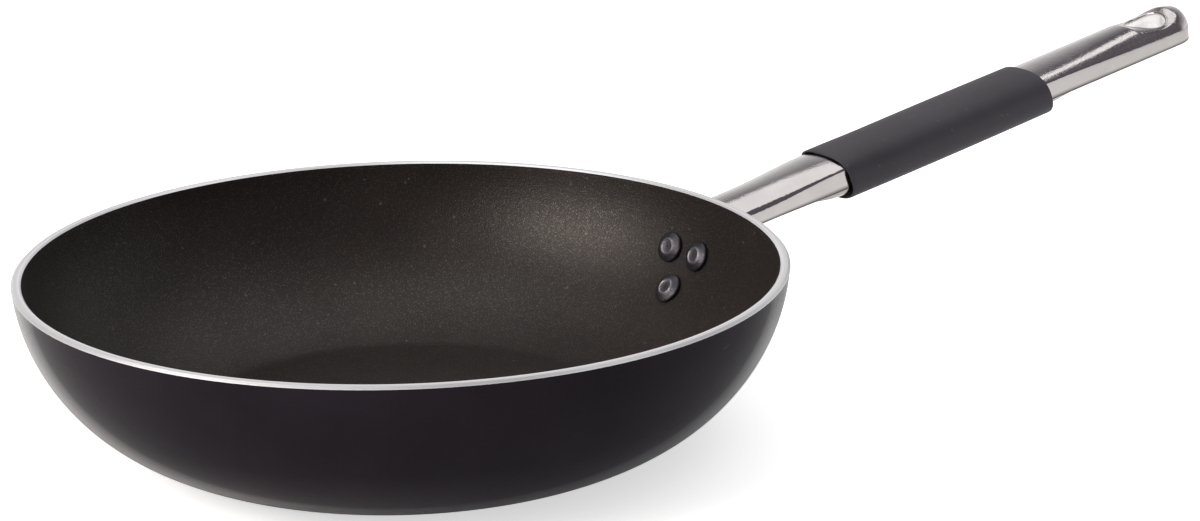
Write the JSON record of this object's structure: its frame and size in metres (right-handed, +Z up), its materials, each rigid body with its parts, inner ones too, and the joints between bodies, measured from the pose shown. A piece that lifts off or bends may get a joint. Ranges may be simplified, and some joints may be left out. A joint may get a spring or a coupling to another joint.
{
  "type": "deep frying pan",
  "caption": "Deep non-stick frying pan with curved walls, a bare metal lip, and a long riveted steel handle with a soft grip sleeve and a hanging hole.",
  "frame": {"origin": "middle of the base's underside, on the surface the pan stands on", "axes": "+Z up, +X from the middle of the bowl towards the handle"},
  "size_m": [0.5474, 0.28, 0.1029],
  "materials": {
    "non_stick_aluminium": "black non-stick coating, satin, with a bare turned lip",
    "polished_steel": "polished stainless sheet",
    "grip_silicone": "matt",
    "rivet_aluminium": "dark, satin"
  },
  "bodies": {
    "root": {"pan_body": "non_stick_aluminium", "handle": "polished_steel", "grip_sleeve": "grip_silicone", "rivet_upper_left": "rivet_aluminium", "rivet_upper_right": "rivet_aluminium", "rivet_lower": "rivet_aluminium"}
  },
  "joints": []
}
